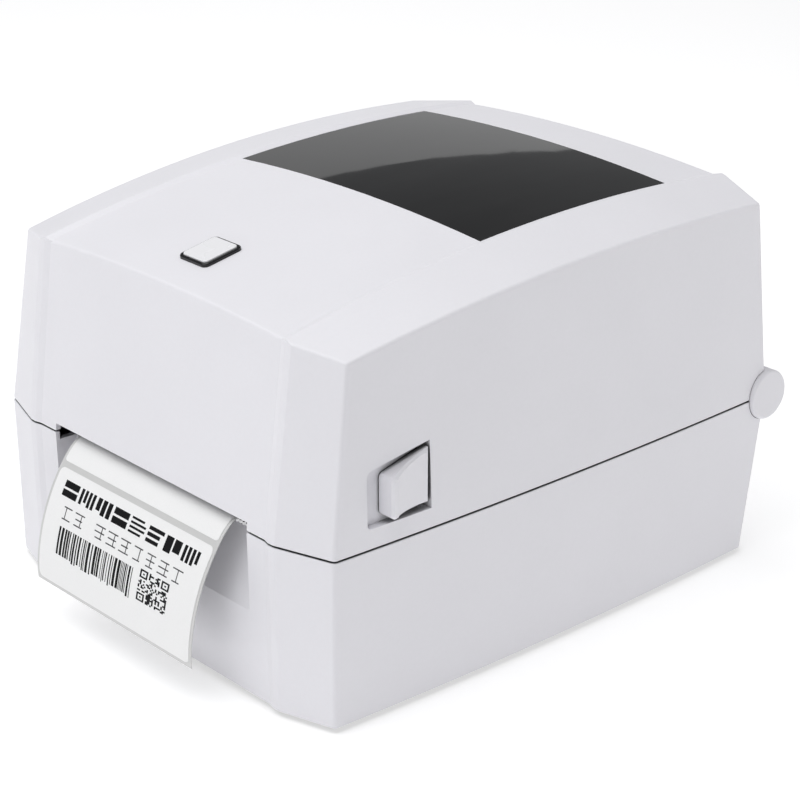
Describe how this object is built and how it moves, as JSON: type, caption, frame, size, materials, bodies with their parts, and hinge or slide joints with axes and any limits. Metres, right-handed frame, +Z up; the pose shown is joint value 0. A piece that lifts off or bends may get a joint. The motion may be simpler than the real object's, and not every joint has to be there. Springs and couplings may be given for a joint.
{
  "type": "thermal label printer",
  "caption": "Desktop thermal label printer: clamshell housing with a label roll, geared platen, ribbon, sprung latches, feed button and a smoked window in the hinged cover.",
  "frame": {"origin": "on the table, under the middle of the object's bounding box, label strip included", "axes": "+Z up, +Y from the label slot to the rear, +X to the right seen from the front"},
  "size_m": [0.2268, 0.2848, 0.1739],
  "materials": {
    "shell_white": "fine moulded texture, satin",
    "window_smoke": "polished, smoked almost black",
    "black_plastic": "satin",
    "button_white": "semi-gloss",
    "base_grey": "fine texture",
    "paper_liner": "glassine, slightly glossy",
    "paper_label": null,
    "cardboard": "matt",
    "rubber": "matt",
    "platen_rubber": "ground, matt",
    "steel": "ground",
    "plated_steel": "zinc plated sheet",
    "screw_steel": "nickel plated",
    "aluminium": "extruded",
    "bush_brass": "sintered",
    "gear_plastic": "acetal",
    "inner_grey": "satin moulded",
    "circuit_board": "solder mask",
    "components": "moulded packages",
    "ribbon_film": "inked film",
    "ceramic": "glazed strip",
    "spring_steel": "drawn wire",
    "loom_black": "sleeved wire"
  },
  "bodies": {
    "base": {"lower_housing": "shell_white", "bottom_plate": "base_grey", "rubber_feet": "rubber", "base_screws": "screw_steel", "catch_pins": "steel", "hinge_rod": "steel", "hinge_caps": "shell_white", "label_liner": "paper_liner", "printed_labels": "paper_label", "media_tray": "inner_grey", "gear_pins": "steel", "side_frame_right": "plated_steel", "side_frame_left": "plated_steel", "platen_bushes": "bush_brass", "drive_motor": "black_plastic", "tear_bar": "steel", "sensor_bar": "plated_steel", "label_sensor": "black_plastic", "main_board": "circuit_board", "board_standoffs": "screw_steel", "board_components": "components", "power_inlet": "black_plastic", "data_port": "plated_steel", "power_switch_housing": "black_plastic", "wiring_loom": "loom_black"},
    "cover": {"upper_cover": "shell_white", "viewing_window": "window_smoke", "window_frame": "black_plastic", "button_bezel": "black_plastic", "button_board": "circuit_board", "pivot_pins": "steel", "latch_springs": "spring_steel", "cover_frame": "plated_steel", "cover_screws": "screw_steel", "head_springs": "spring_steel", "ribbon_motor": "plated_steel", "ribbon_film": "ribbon_film"},
    "feed_button": {"feed_button": "button_white"},
    "latch_right": {"latch_lever_right": "shell_white"},
    "latch_left": {"latch_lever_left": "shell_white"},
    "printhead": {"printhead": "ceramic", "head_sink": "aluminium", "head_bracket": "plated_steel"},
    "ribbon_supply": {"ribbon_supply_spool": "gear_plastic", "ribbon_supply_roll": "ribbon_film"},
    "ribbon_takeup": {"ribbon_takeup_spool": "gear_plastic", "ribbon_takeup_roll": "ribbon_film", "takeup_gear": "gear_plastic"},
    "ribbon_drive": {"ribbon_pinion": "bush_brass"},
    "platen": {"platen_roller": "platen_rubber", "platen_shaft": "steel", "platen_gear": "gear_plastic"},
    "idler": {"idler_gear": "gear_plastic"},
    "motor_rotor": {"motor_pinion": "bush_brass"},
    "label_roll": {"label_roll": "paper_label", "roll_core": "cardboard"},
    "guide_right": {"media_guide_right": "inner_grey"},
    "guide_left": {"media_guide_left": "inner_grey"},
    "guide_pinion": {"guide_pinion": "gear_plastic"},
    "power_rocker": {"power_rocker": "black_plastic"}
  },
  "joints": [
    {"name": "cover_hinge", "type": "hinge", "parent": "base", "child": "cover", "pos_m": [0, 0.13121, 0.0745], "axis": [-1, 0, 0], "range_deg": [0, 80]},
    {"name": "latch_pull_right", "type": "hinge", "parent": "cover", "child": "latch_right", "pos_m": [0.097, -0.08468, 0.1285], "axis": [-1, 0, 0], "range_deg": [0, 10], "stiffness_Nm_per_rad": 0.2, "springref_deg": -8.59},
    {"name": "latch_pull_left", "type": "hinge", "parent": "cover", "child": "latch_left", "pos_m": [-0.097, -0.08468, 0.1285], "axis": [-1, 0, 0], "range_deg": [0, 10], "stiffness_Nm_per_rad": 0.2, "springref_deg": -8.59},
    {"name": "button_press", "type": "slide", "parent": "cover", "child": "feed_button", "axis": [0, 0.1771, -0.9842], "range_m": [0, 0.001], "stiffness_N_per_m": 600, "springref_m": -0.0006},
    {"name": "head_lift", "type": "hinge", "parent": "cover", "child": "printhead", "pos_m": [0, -0.06668, 0.0935], "axis": [-1, 0, 0], "range_deg": [0, 3], "stiffness_Nm_per_rad": 1.5, "springref_deg": -6.88, "deforming": ["head_springs"]},
    {"name": "ribbon_supply_turn", "type": "hinge", "parent": "cover", "child": "ribbon_supply", "pos_m": [0, -0.02269, 0.1365], "axis": [1, 0, 0], "continuous": true},
    {"name": "ribbon_takeup_turn", "type": "hinge", "parent": "cover", "child": "ribbon_takeup", "pos_m": [0, -0.06768, 0.1305], "axis": [1, 0, 0], "continuous": true},
    {"name": "ribbon_drive_turn", "type": "hinge", "parent": "cover", "child": "ribbon_drive", "pos_m": [0.064, -0.04511, 0.13872], "axis": [1, 0, 0], "continuous": true},
    {"name": "platen_turn", "type": "hinge", "parent": "base", "child": "platen", "pos_m": [0, -0.10068, 0.0665], "axis": [1, 0, 0], "continuous": true},
    {"name": "idler_turn", "type": "hinge", "parent": "base", "child": "idler", "pos_m": [0.072, -0.08019, 0.05215], "axis": [1, 0, 0], "continuous": true},
    {"name": "motor_turn", "type": "hinge", "parent": "base", "child": "motor_rotor", "pos_m": [0.072, -0.06297, 0.04009], "axis": [1, 0, 0], "continuous": true},
    {"name": "label_roll_turn", "type": "hinge", "parent": "base", "child": "label_roll", "pos_m": [0, 0.04532, 0.0785], "axis": [1, 0, 0], "continuous": true},
    {"name": "guide_slide_right", "type": "slide", "parent": "base", "child": "guide_right", "axis": [1, 0, 0], "range_m": [0, 0.012]},
    {"name": "guide_slide_left", "type": "slide", "parent": "base", "child": "guide_left", "axis": [1, 0, 0], "range_m": [-0.012, 0]},
    {"name": "guide_pinion_turn", "type": "hinge", "parent": "base", "child": "guide_pinion", "pos_m": [0, 0.04532, 0.0098], "axis": [0, 0, 1], "range_deg": [0, 87]},
    {"name": "power_rocker_tip", "type": "hinge", "parent": "base", "child": "power_rocker", "pos_m": [0.0405, 0.11882, 0.0275], "axis": [1, 0, 0], "range_deg": [0, 10]}
  ],
  "couplings": [
    {"joint": "idler_turn", "follows": "platen_turn", "ratio": -0.66667},
    {"joint": "motor_turn", "follows": "platen_turn", "ratio": 1.6667},
    {"joint": "ribbon_drive_turn", "follows": "ribbon_takeup_turn", "ratio": -3},
    {"joint": "guide_slide_left", "follows": "guide_slide_right", "ratio": -1},
    {"joint": "guide_pinion_turn", "follows": "guide_slide_right", "rad_per_m": 125}
  ]
}
